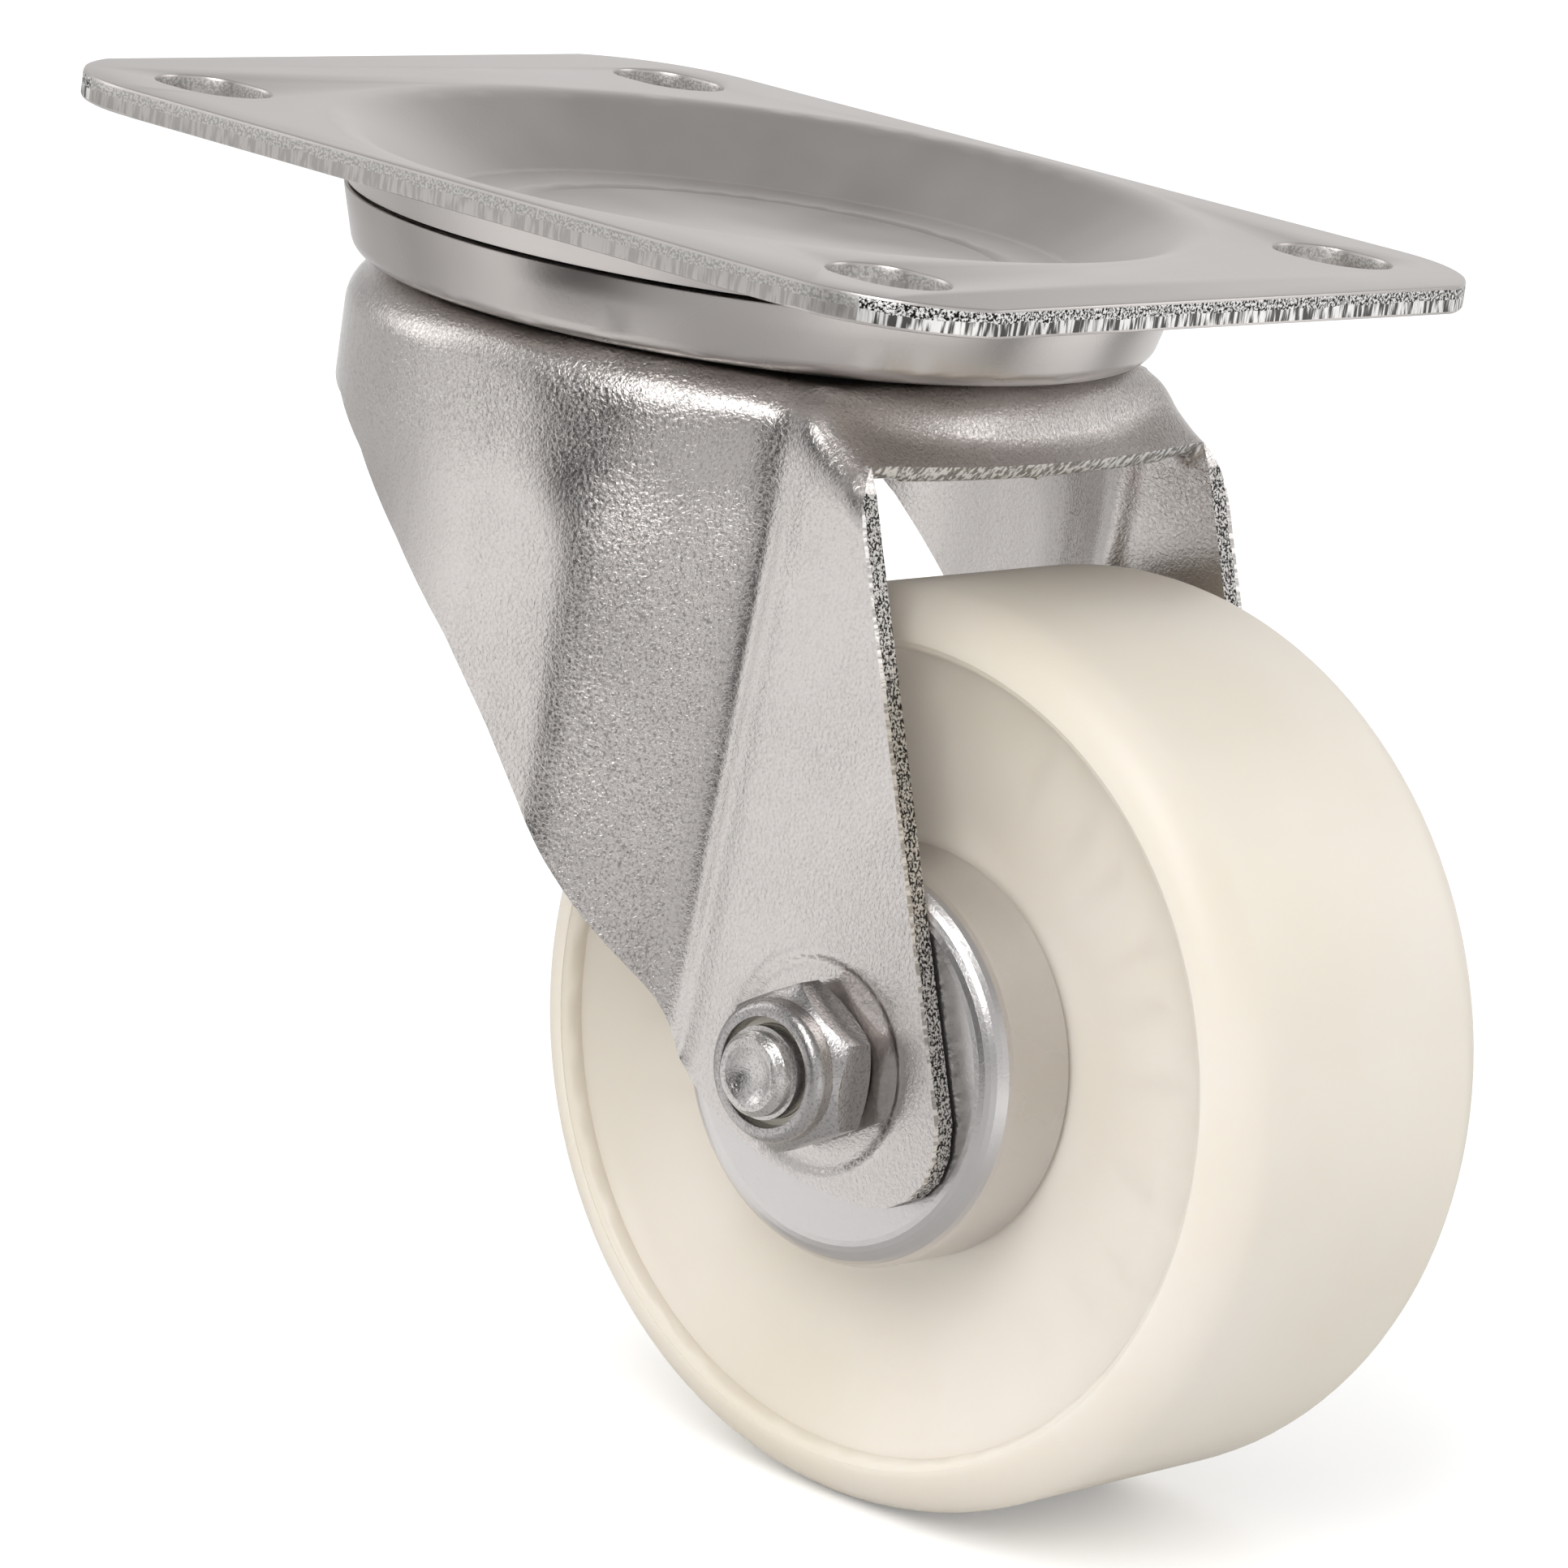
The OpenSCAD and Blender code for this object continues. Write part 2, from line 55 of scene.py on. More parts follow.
# Places taken from the solids
SLEEVE_LOW, SLEEVE_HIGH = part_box("axle_sleeve")
AXLE_X = (SLEEVE_LOW.x + SLEEVE_HIGH.x) / 2
AXLE_Z = (SLEEVE_LOW.z + SLEEVE_HIGH.z) / 2
FLOOR_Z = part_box("wheel")[0].z

# The photograph's view: the camera's direction and roll, its lens, and where the swivel axis
# at axle height lies before it (right, down, ahead)
VIEW_AZIMUTH, VIEW_ELEVATION, VIEW_ROLL = 39.92, 13.14, 8.18
LENS_MM, SENSOR_MM = 168.0, 36
AIM = Vector((-10.59, 11.44, 660.7)) * MM
NEAREST_SEEN, FARTHEST_SEEN = 0.01, 50

# The studio as bright metal mirrors it: its tones at degrees round the castor, counted from
# the front (-Y) towards +X, where the camera stands at about 40
ROOM_TONES = ((-140, "#fafafa"), (-104, "#b8b8b8"), (-66, "#b0b0b0"), (-44, "#cccccc"),
              (-34, "#e4e4e4"), (-26, "#fafafa"), (-17, "#343434"), (2, "#282828"),
              (12, "#a8a8a8"), (50, "#c0c0c0"), (66, "#f2f2f2"), (100, "#e8e8e8"),
              (114, "#4a4a4a"), (128, "#ffffff"), (150, "#ffffff"), (164, "#6a6a6a"),
              (176, "#cccccc"))
CLOSE_TONES = ((-176, "#a4a4a4"), (-70, "#a8a8a8"), (-44, "#ececec"), (6, "#ececec"),
               (24, "#b4b4b4"), (60, "#b0b0b0"), (176, "#a4a4a4"))
BACK_TONE = "#dcdcdc"               # straight behind, at 180 degrees
CEILING_TONE = "#a4a4a4"
# Height of a direction (the sine of its angle) over which the walls go over into the ceiling
WALL_TOP = (0.35, 0.7)
# What lights matt pieces: its lowest and highest tone, and the heights where they are reached
ROOM_LIGHT = ("#9c9a98", "#f2f2f2")
ROOM_LIGHT_RANGE = (-0.5, 0.9)

# The floor: its tone, how much it glows where the camera sees it, its size, and how far out
# what metal mirrors of it goes from the close tones to the room's
FLOOR_TONE, FLOOR_GLOW = "#f4f4f4", 0.25
FLOOR_SIZE = 8
NEAR_FLOOR = (0.10, 0.22)

# Each lamp's place, the point that it faces, its size and its watts
LAMPS = {"key": ((0.42, -1.15, 1.0), (0, 0, -0.04), (0.6, 1.2), 11.5),
         "side": ((-1.5, -0.7, 0.7), (0, 0, -0.05), (0.8, 1.4), 5.5),
         "back": ((0.9, 1.3, 0.9), (0, 0, -0.03), (1.2, 0.8), 5)}

# Where the values of a noise texture lie: nearly all of them, most of them, and those that
# turn a pattern into marks with a clear outline
NOISE_WIDE, NOISE_CORE, NOISE_MARKS = (0.3, 0.7), (0.35, 0.65), (0.44, 0.56)

# Zinc plated sheet: over how many mm its grain and its tone change, how much of the grain is
# left in the smoothest patches and where nothing was stretched, and how roughness varies
PATCH_MM, SHADE_MM = 9, 17
SMOOTHEST, UNSTRETCHED = 0.55, 0.22
ROUGHNESS_SPREAD = (-0.04, 0.05)
# Specks of painted shade in the grain's low spots: their size as a share of the grain, and the
# noise values over which they fade
SPECK_SIZE, SPECK_NOISE = 0.7, (0.34, 0.46)

# Cut edges: grain of both bands, how much longer the streaks are than wide, and how far and
# over what length the border between the bands wanders
STREAK_MM, GRIT_MM, STREAK_SQUEEZE = 0.4, 0.25, 0.12
WANDER_MM, WANDER_ALONG_MM = 0.35, 3

TURNING_MARK_MM, TURNING_MARK_UM = 0.5, 6
NYLON_IOR = 1.53

# The fork sheet, in mm: the leg's outer face, the sheet's thickness and the crown's top
LEG_HALF, SHEET_MM, CROWN_Z = 24.8, 2.3, -12
# The round of the crown: its radius, its centre, and how far in front of that it is followed
CROWN_RADIUS, CROWN_CENTRE_X, CROWN_REACH = 34.9, -1.2, 34
# Straight flanks of the solid and of the pressing: half width, at which x, narrowing per mm
SOLID_FLANK, PRESSED_FLANK = (34.7, -1, 0.0747), (34.8, 1.4, 0.0752)
# The crease between facet and leg: at the crown, how far back it runs per mm down, and how
# far behind the solid's the press put it
LEG_CREASE_X, FACET_RUN_BACK, FACET_BACK = 29.4, 0.0704, 2.9
# The crease between flank and facet: at the top and lower down, at which heights that is,
# and how far back it drifts per mm from where on
FACET_START_X, FACET_START_Z = (12.6, 15.9), (-20, -29)
START_DRIFT, START_DRIFT_Z = 0.02, -31
SOLID_FACET_SLOPE = 0.662
# How wide the bends are: the solid's, and the pressing's at the flank and at the leg
SOLID_BEND, FLANK_BEND, LEG_BEND = 1.3, 4.2, 1.6

# Parts of the fork, in mm, as ranges along x, y (outwards) and z in which a part begins. A
# range written downwards is one in which it ends. First the facets, then the hollow where
# crown, facets and front shelf meet, the crown's rounded front, and the shoulder over the
# facet, which is widest at the facet's crease with the flank.
FACETS = (("x", -6, 2), ("x", LEG_CREASE_X + 3, LEG_CREASE_X), ("y", 14, 21))
HOLLOW = (("z", -21, -19), ("x", 24, 27))
BROW = (("z", -27, -21), ("x", 2, 8), ("y", 22, 27), ("x", 26, 21))
SHOULDER = (("z", -32, -24), ("x", 4, 12), ("x", 23, 14), ("y", 20, 26))
# The lip's edge, before which the hollow ends: its x, at which y, and how far it comes
# forward per mm inwards; then the length over which the hollow ends, and its half width
LIP_X, LIP_AT_Y, LIP_SPLAY = 34.6, 24, 0.06
HOLLOW_OFF_LIP, HOLLOW_HALF = 1.2, 27
# The bends stay as they are on the crown's flat top and near a cut edge, which would shrink
TOP_CLEAR = 0.4
EDGE_CLEAR = (0.3, 3)
# How often each part is smoothed
SMOOTHING = {"bends": 18, "shelf": 34, "shoulder": 110}
SMOOTHING_FACTOR = 0.5

# Where the sheet was stretched, in mm: how far round its creases that goes, and over which
# ranges the sides and the crown begin
BEFORE_START, PAST_START, ROUND_LEG_CREASE, LEG_FADE = 5, 1, 2, 3
SIDE_Y, CROWN_FOOT = (22, 24), (-28, -20)
# Stretch of the crown, and how much less the facet has up there and the crown on the leg
CROWN_STRETCH, LESS_AT_CROWN, LESS_ON_LEG = 0.35, 0.7, 0.8

# Cut edges, in mm: the fork's rim is below the first height, and the front edges of its legs
# are before an x and below the second; the lip's edge is above the third
RIM_Z, FRONT_X, FRONT_Z, LIP_FOOT_Z = -22.3, 33, -19.5, -22
# The plate: its thickness, the round that its dish stays in, its long edges, and the box
# that holds the four slots
PLATE_MM, DISH_REACH, LONG_EDGE_Y, SLOTS_X, SLOTS_Y = 2.5, 40, 39.5, 47, 36
# Normals of cut faces: how far they lean at most, and how much they face a way at least
LEG_EDGE_LEAN, PLATE_EDGE_LEAN, LONG_SIDE_FACES = 0.6, 0.35, 0.9
LIP_FACES_FRONT, LIP_FACES_DOWN = 0.45, 0.25

# The dust lip, in mm: its gap above the seal ring, how far its foot is inside and its top
# outside the ring's rim, and its wall
LIP_GAP, LIP_INSET, LIP_FLARE, LIP_WALL = 0.12, 0.2, 1.2, 0.6
LIP_SIDES = 160

# Meshes: distance at which points are one, and degrees at which faces are one, shaded as one,
# and sharp enough to be rounded
MERGE = 1e-6
FLAT_ANGLE, SMOOTH_ANGLE, FORK_SMOOTH_ANGLE, SHARP_ANGLE = 0.4, 32, 38, 35
TURNED_SHARP_ANGLE = 25             # for the pieces whose rounds are made of flats
BEVEL_STEPS = 2
# The fork's new skin: the finest cells are its size / scale / 2 ** depth
SKIN_DEPTH, SKIN_SCALE = 8, 0.6


# Colours and shader nodes

def linear(code):
    """An sRGB hex value as Blender's linear colour."""
    parts = [int(code[i:i + 2], 16) / 255 for i in (1, 3, 5)]
    return (*[p / 12.92 if p <= 0.04045 else ((p + 0.055) / 1.055) ** 2.4 for p in parts], 1)


def add(tree, kind, inputs=None, **settings):
    """Adds a shader node with its settings. An input is a value or the socket feeding it."""
    new = tree.nodes.new("ShaderNode" + kind)
    for name, value in settings.items():
        setattr(new, name, value)
    for name, value in (inputs or {}).items():
        if isinstance(value, bpy.types.NodeSocket):
            tree.links.new(value, new.inputs[name])
        else:
            new.inputs[name].default_value = value
    return new


def maths(tree, operation, *values):
    return add(tree, "Math", dict(enumerate(values)), operation=operation).outputs[0]


def mixed(tree, share, first, second, kind="RGBA"):
    """first where share is 0, second where it is 1, and in between a mix of both."""
    inputs = {"Factor": share, "A": first, "B": second}
    return add(tree, "Mix", inputs, data_type=kind).outputs["Result"]


def spread(tree, value, low, high, to_low=0.0, to_high=1.0):
    """to_low up to low, to_high from high on, and straight from one to the other between."""
    return add(tree, "MapRange", {"Value": value, "From Min": low, "From Max": high,
                                  "To Min": to_low, "To Max": to_high}).outputs["Result"]


def fade(tree, value, low, high, tones):
    """From the first sRGB tone to the second as value goes from low to high."""
    ramp_node = add(tree, "ValToRGB", {"Fac": value})
    for stop, position, tone in zip(ramp_node.color_ramp.elements, (low, high), tones):
        stop.position = position
        stop.color = linear(tone)
    return ramp_node.outputs["Color"]


def noise(tree, position, across_mm, detail=2.0, **inputs):
    return add(tree, "TexNoise", {"Vector": position, "Scale": 1 / (across_mm * MM),
                                  "Detail": detail, **inputs}).outputs["Fac"]


def bumps(tree, height, depth_um, strength=1.0):
    return add(tree, "Bump", {"Height": height, "Strength": strength,
                              "Distance": depth_um * UM}).outputs["Normal"]


def surface(tree, out, colour, roughness, normal, others):
    """Ends a material in a principled surface."""
    skin = add(tree, "BsdfPrincipled", {"Base Color": colour, "Roughness": roughness,
                                        "Normal": normal, **others})
    tree.links.new(skin.outputs["BSDF"], out.inputs["Surface"])


# Materials

def new_material(name):
    """An empty material with its tree, its output and its object coordinates."""
    material = bpy.data.materials.new(name)
    material.use_nodes = True
    tree = material.node_tree
    tree.nodes.clear()
    out = add(tree, "OutputMaterial")
    return material, tree, out, add(tree, "TexCoord").outputs["Object"]


def zinc_sheet(name, tones, grain_mm, grain_um, roughness, pits=0.0, drawn=None):
    """Cold rolled steel sheet, pressed and bright zinc plated.

    Drawing the sheet roughens it into a fine orange peel, grain_mm across and grain_um deep,
    strongest where it is stretched round a bend; the plating keeps it bright but not sharp.
    pits is how much darker specks of painted shade make the grain's low spots look, and drawn
    names the attribute that says where the sheet was stretched."""
    material, tree, out, position = new_material(name)
    peel = noise(tree, position, grain_mm, detail=3.0, Roughness=0.6, Distortion=0.6)
    strength = spread(tree, noise(tree, position, PATCH_MM), *NOISE_CORE, SMOOTHEST, 1.0)
    pit_shade = pits
    if drawn:
        stretched = add(tree, "Attribute", attribute_name=drawn).outputs["Fac"]
        share = spread(tree, stretched, 0.0, 1.0, UNSTRETCHED, 1.0)
        strength = maths(tree, "MULTIPLY", strength, share)
        pit_shade = maths(tree, "MULTIPLY", share, pits)
    normal = bumps(tree, maths(tree, "MULTIPLY", peel, strength), grain_um)
    shade = noise(tree, position, SHADE_MM, detail=3.0)
    skin = fade(tree, shade, *NOISE_WIDE, tones)
    rough = spread(tree, shade, *NOISE_WIDE, *[roughness + part for part in ROUGHNESS_SPREAD])
    # Specks of painted shade in the grain's low spots, deeper where the sheet was stretched
    if pits:
        speck = noise(tree, position, SPECK_SIZE * grain_mm, detail=1.0)
        darkest = maths(tree, "SUBTRACT", 1.0, pit_shade)
        low = spread(tree, speck, *SPECK_NOISE, darkest, 1.0)
        skin = add(tree, "VectorMath", {0: skin, "Scale": low},
                   operation="SCALE").outputs["Vector"]
    surface(tree, out, skin, rough, normal, {"Metallic": 1.0})
    return material


def sheared_edge(name, across, torn_from, burnished, torn, roughness=0.45, depth_um=90):
    """The cut edge of a blanked sheet, zinc plated: a burnished band that the tool scored
    with streaks across the sheet, and a torn band with grit.

    across is the axis of the sheet's thickness, Z or Y on either side. The torn band lies
    above torn_from on it, in mm, counted inwards from both sides where the axis is Y.
    burnished and torn are each band's dark and light tone, laid on the streaks' and the grit's
    heights as painted shade in their low marks and painted glints on their high ones. depth_um
    is how deep the streaks and the grit are."""
    material, tree, out, position = new_material(name)
    squeeze = (1.0, 1.0, STREAK_SQUEEZE) if across == "Z" else (1.0, STREAK_SQUEEZE, 1.0)
    stretched = add(tree, "Mapping", {"Vector": position, "Scale": squeeze})
    streaks = noise(tree, stretched.outputs["Vector"], STREAK_MM)
    grit = noise(tree, position, GRIT_MM, Roughness=0.6)
    place = add(tree, "SeparateXYZ", {"Vector": position})
    level = place.outputs["Z"]
    if across == "Y":
        level = maths(tree, "MULTIPLY", maths(tree, "ABSOLUTE", place.outputs["Y"]), -1.0)
    border = spread(tree, noise(tree, position, WANDER_ALONG_MM), 0.0, 1.0,
                    (torn_from - WANDER_MM) * MM, (torn_from + WANDER_MM) * MM)
    is_torn = maths(tree, "GREATER_THAN", level, border)
    height = mixed(tree, is_torn, streaks, grit, "FLOAT")
    normal = bumps(tree, height, depth_um)
    # Painted shade in the low streaks and grit, painted glints on the high ones
    shade_and_glint_bands = [fade(tree, height, *NOISE_MARKS, tones) for tones in (burnished, torn)]
    surface(tree, out, mixed(tree, is_torn, *shade_and_glint_bands), roughness, normal, {"Metallic": 1.0})
    return material


def turned_steel(name, tone, roughness):
    """Machined and zinc plated steel: fine marks, drawn coarser than the real ones, so that
    they show."""
    material, tree, out, position = new_material(name)
    shifted = add(tree, "Mapping", {"Vector": position, "Location": (-AXLE_X, 0, -AXLE_Z)})
    marks = noise(tree, shifted.outputs["Vector"], TURNING_MARK_MM)
    surface(tree, out, linear(tone), roughness, bumps(tree, marks, TURNING_MARK_UM),
            {"Metallic": 1.0})
    return material


def moulded_polyamide(name, pale, warm):
    """Natural cast polyamide: off-white, waxy, lets light in a few millimetres deep. The
    mould leaves a faint ripple, and the tone wanders between pale and a warmer yellow."""
    material, tree, out, position = new_material(name)
    cloud = noise(tree, position, across_mm=26)
    ripple = bumps(tree, noise(tree, position, across_mm=2.5), depth_um=12, strength=0.6)
    surface(tree, out, fade(tree, cloud, *NOISE_WIDE, (warm, pale)), roughness=0.42,
            normal=ripple, others={"IOR": NYLON_IOR, "Subsurface Weight": 0.35,
                                   "Subsurface Radius": (1.0, 0.85, 0.6),
                                   "Subsurface Scale": 3 * MM})
    return material


def plain_plastic(name, tone):
    """A small moulded nylon piece: matt, with a fine spark-eroded texture."""
    material, tree, out, position = new_material(name)
    texture = bumps(tree, noise(tree, position, across_mm=0.3), depth_um=10, strength=0.5)
    surface(tree, out, linear(tone), roughness=0.55, normal=texture,
            others={"IOR": NYLON_IOR})
    return material


# Pieces made from the solids' own meshes

def body_of(node):
    """The body that carries a node."""
    bodies = frame["record"]["behaviour"]["bodies"]
    return next(body for body, nodes in bodies.items() if node in nodes)


def slot_of(node):
    """A node's material slot in the record."""
    return next(s["material_slot"] for s in frame["record"]["subparts"] if s["node"] == node)


def pick(piece):
    """Makes a piece the only selected object, and the active one."""
    bpy.ops.object.select_all(action="DESELECT")
    piece.select_set(True)
    bpy.context.view_layer.objects.active = piece


def edit_all(operator, **settings):
    """Runs an edit mode operator on all of the active mesh."""
    bpy.ops.object.mode_set(mode="EDIT")
    bpy.ops.mesh.select_all(action="SELECT")
    operator(**settings)
    bpy.ops.object.mode_set(mode="OBJECT")


def taken_from(node, name):
    """A merged copy of a CAD node that stands for it and moves with it."""
    pick(frame["nodes"][node])
    bpy.ops.object.duplicate()
    piece = bpy.context.active_object
    piece.parent = None
    piece.name = piece.data.name = name
    piece.data.materials.clear()
    edit_all(bpy.ops.mesh.remove_doubles, threshold=MERGE)
    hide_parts(node)
    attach(piece, body_of(node))
    return piece


def apply_modifiers(piece):
    pick(piece)
    for modifier in list(piece.modifiers):
        bpy.ops.object.modifier_apply(modifier=modifier.name)


def eased(node, name, width_mm, sharp=SHARP_ANGLE):
    """A CAD node with its sharp edges rounded, as plating and handling leave them."""
    piece = taken_from(node, name)
    edit_all(bpy.ops.mesh.dissolve_limited, angle_limit=radians(FLAT_ANGLE))
    bevel = piece.modifiers.new("edge", "BEVEL")
    bevel.limit_method = "ANGLE"
    bevel.angle_limit = radians(sharp)
    bevel.width = width_mm * MM
    bevel.segments = BEVEL_STEPS
    apply_modifiers(piece)
    bpy.ops.object.shade_smooth_by_angle(angle=radians(SMOOTH_ANGLE))
    return piece


def paint(piece, first, *others):
    """Gives a piece its material, and others, each to the faces that its test picks."""
    piece.data.materials.clear()
    piece.data.materials.append(first)
    for index, (material, where) in enumerate(others, start=1):
        piece.data.materials.append(material)
        for face in piece.data.polygons:
            if where(face.center, face.normal):
                face.material_index = index


def on_leg_edge(centre, normal):
    """Faces on the fork's cut edges: across the legs and the rear rim."""
    in_front = abs(centre.y) > (LEG_HALF - SHEET_MM) * MM and centre.x > FRONT_X * MM
    return abs(normal.y) < LEG_EDGE_LEAN and \
        (centre.z < RIM_Z * MM or (in_front and centre.z < FRONT_Z * MM))


def on_lip_edge(centre, normal):
    """Faces on the cut edge of the lip over the wheel."""
    faces_wheel = normal.x > LIP_FACES_FRONT and normal.z < -LIP_FACES_DOWN
    return faces_wheel and abs(centre.y) < LEG_HALF * MM and centre.x > FRONT_X * MM and \
        centre.z > LIP_FOOT_Z * MM


def on_plate_edge(centre, normal):
    """Faces on the plate's cut outline and in its slots."""
    return abs(normal.z) < PLATE_EDGE_LEAN and centre.z > -PLATE_MM * MM and \
        Vector((centre.x, centre.y)).length > DISH_REACH * MM


def on_clean_edge(centre, normal):
    """Faces on the plate's slit long sides and in its punched slots, which are torn less."""
    long_side = abs(normal.y) > LONG_SIDE_FACES and abs(centre.y) > LONG_EDGE_Y * MM
    in_slot = abs(centre.x) < SLOTS_X * MM and abs(centre.y) < SLOTS_Y * MM
    return on_plate_edge(centre, normal) and (long_side or in_slot)


# The pressed fork, in mm

def ramp(value, low, high):
    """0 below low, 1 above high, and eased between them."""
    t = min(1, max(0, (value - low) / (high - low)))
    return t * t * (3 - 2 * t)


def share_in(part, place):
    """How far a place lies in a part of the fork, from 0 to 1."""
    share = 1
    for axis, start, end in part:
        if start < end:
            share *= ramp(place[axis], start, end)
        else:
            share *= 1 - ramp(place[axis], end, start)
    return share


def softer_least(a, b, blend):
    """The lesser of two widths, with a round bend instead of a corner where they meet."""
    h = max(0, blend - abs(a - b)) / blend
    return min(a, b) - h * h * blend / 4


def flank_half(flank, x):
    """Half width over a straight flank at x."""
    half, at_x, narrowing = flank
    return half - narrowing * (x - at_x)


def leg_crease(z):
    """Where the solid's facet meets the leg at height z."""
    return LEG_CREASE_X - FACET_RUN_BACK * max(0, CROWN_Z - z)


def facet_start(z):
    """Where the flank bends into the pressed facet at height z."""
    (upper_x, lower_x), (upper_z, lower_z) = FACET_START_X, FACET_START_Z
    return lower_x + (upper_x - lower_x) * ramp(z, lower_z, upper_z) - \
        START_DRIFT * max(0, START_DRIFT_Z - z)


def fork_side(x, z):
    """Half width over the fork at x and z, as the solid has it and as it is pressed: the
    facet between crown and leg lies further back, and rises out of one flat flank."""
    from_centre = min(CROWN_REACH, x - CROWN_CENTRE_X)
    crown_half = (CROWN_RADIUS ** 2 - from_centre ** 2) ** 0.5
    flank = max(flank_half(SOLID_FLANK, x), crown_half)
    facet = LEG_HALF + (leg_crease(z) - x) * SOLID_FACET_SLOPE
    solid = max(LEG_HALF, softer_least(flank, facet, SOLID_BEND))
    if x > PRESSED_FLANK[1]:
        flank = flank_half(PRESSED_FLANK, x)
    start, end = facet_start(z), leg_crease(z) - FACET_BACK
    slope = (flank_half(PRESSED_FLANK, start) - LEG_HALF) / (end - start)
    pressed = softer_least(flank, LEG_HALF + (end - x) * slope, FLANK_BEND)
    return solid, -softer_least(-LEG_HALF, -pressed, LEG_BEND)


def stretch_at(x, y, z):
    """How far the press has stretched the sheet, from 0 to 1: most of all on the facet and
    round its bends."""
    start, end = facet_start(z), leg_crease(z) - FACET_BACK
    side = ramp(abs(y), *SIDE_Y)
    crown = ramp(z, *CROWN_FOOT)
    facet = ramp(x, start - BEFORE_START, start + PAST_START) * \
        (1 - ramp(x, end - ROUND_LEG_CREASE, end + ROUND_LEG_CREASE))
    on_leg = ramp(x, end, end + LEG_FADE) * side
    return max(facet * side * (1 - LESS_AT_CROWN * crown),
               CROWN_STRETCH * crown * (1 - LESS_ON_LEG * on_leg))


def cut_edges(mesh):
    """A search tree of the points on the fork's cut edges."""
    points = {i for f in mesh.polygons if on_leg_edge(f.center, f.normal) for i in f.vertices}
    edges = KDTree(len(points))
    for i in points:
        edges.insert(mesh.vertices[i].co, i)
    edges.balance()
    return edges


def pressed_fork():
    """The fork sheet: the solid's faces are drawn again as one even skin that keeps its cut
    edges, its facets are moved to where the press put them, and the crown's front is relaxed,
    so that its bends run into each other as a pressing's do."""
    piece = taken_from("fork", "fork_pressing")
    skin = piece.modifiers.new("skin", "REMESH")
    skin.mode = "SHARP"
    skin.octree_depth = SKIN_DEPTH
    skin.scale = SKIN_SCALE
    skin.sharpness = 1.0
    skin.use_remove_disconnected = False
    apply_modifiers(piece)

    edges = cut_edges(piece.data)
    clear_low, clear_high = EDGE_CLEAR
    groups = {name: piece.vertex_groups.new(name=name) for name in SMOOTHING}
    for v in piece.data.vertices:
        x, y, z = v.co / MM
        place = {"x": x, "y": abs(y), "z": z}
        off_edge = ramp(edges.find(v.co)[2], clear_low * MM, clear_high * MM)
        share = share_in(FACETS, place)
        if share > 0:
            solid, pressed = fork_side(x, z)
            v.co.y += (pressed - solid) * share * (MM if y > 0 else -MM)
            groups["bends"].add([v.index], share * off_edge, "REPLACE")
        if z >= CROWN_Z - TOP_CLEAR:
            continue
        behind_lip = LIP_X + LIP_SPLAY * (LIP_AT_Y - abs(y)) - x
        hollow = share_in(HOLLOW, place) * ramp(behind_lip, 0, HOLLOW_OFF_LIP) * \
            (abs(y) < HOLLOW_HALF)
        shelf = max(hollow, share_in(BROW, place))
        if shelf > 0:
            groups["shelf"].add([v.index], shelf, "REPLACE")
        shoulder = share_in(SHOULDER, place)
        if shoulder > 0:
            groups["shoulder"].add([v.index], shoulder * off_edge, "REPLACE")
    for name, steps in SMOOTHING.items():
        ease = piece.modifiers.new(name, "SMOOTH")
        ease.factor, ease.iterations, ease.vertex_group = SMOOTHING_FACTOR, steps, name
    apply_modifiers(piece)

    drawn = piece.data.attributes.new("drawn", "FLOAT", "POINT")
    for v in piece.data.vertices:
        drawn.data[v.index].value = stretch_at(*v.co / MM)
    bpy.ops.object.shade_smooth_by_angle(angle=radians(FORK_SMOOTH_ANGLE))
    return piece


def dust_lip():
    """The short skirt under the plate that closes the seal ring's mouth."""
    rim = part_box("seal_ring")[1]
    foot, top = rim.z + LIP_GAP * MM, -PLATE_MM * MM
    bpy.ops.mesh.primitive_cone_add(vertices=LIP_SIDES, radius1=rim.x - LIP_INSET * MM,
                                    radius2=rim.x + LIP_FLARE * MM, depth=top - foot,
                                    end_fill_type="NOTHING",
                                    location=(0, 0, (top + foot) / 2))
    piece = bpy.context.active_object
    piece.name = piece.data.name = "dust_lip"
    bpy.ops.object.transform_apply(location=True, rotation=True, scale=True)
    wall = piece.modifiers.new("wall", "SOLIDIFY")
    wall.thickness, wall.offset = LIP_WALL * MM, -1
    apply_modifiers(piece)
    bpy.ops.object.shade_smooth_by_angle(angle=radians(SMOOTH_ANGLE))
    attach(piece, body_of("top_plate"))
    return piece


# The stage

def soft_light(name, place, aim, size, watts):
    lamp = bpy.data.lights.new(name, "AREA")
    lamp.shape = "RECTANGLE"
    lamp.size, lamp.size_y = size
    lamp.energy = watts
    holder = bpy.data.objects.new(name, lamp)
    holder.location = place
    facing = Vector(aim) - Vector(place)
    holder.rotation_euler = facing.to_track_quat("-Z", "Y").to_euler()
    bpy.context.collection.objects.link(holder)


def studio_round(tree, position, tones):
    """What bright metal mirrors of the studio in each direction round the castor."""
    place = add(tree, "SeparateXYZ", {"Vector": position})
    front = maths(tree, "MULTIPLY", place.outputs["Y"], -1.0)
    turn = maths(tree, "ARCTAN2", place.outputs["X"], front)
    tone = add(tree, "ValToRGB", {"Fac": spread(tree, turn, -pi, pi)})
    stops = tone.color_ramp.elements
    stops[0].color = stops[1].color = linear(BACK_TONE)
    for degrees, colour in tones:
        stops.new((degrees + 180) / 360).color = linear(colour)
    return tone.outputs["Color"]


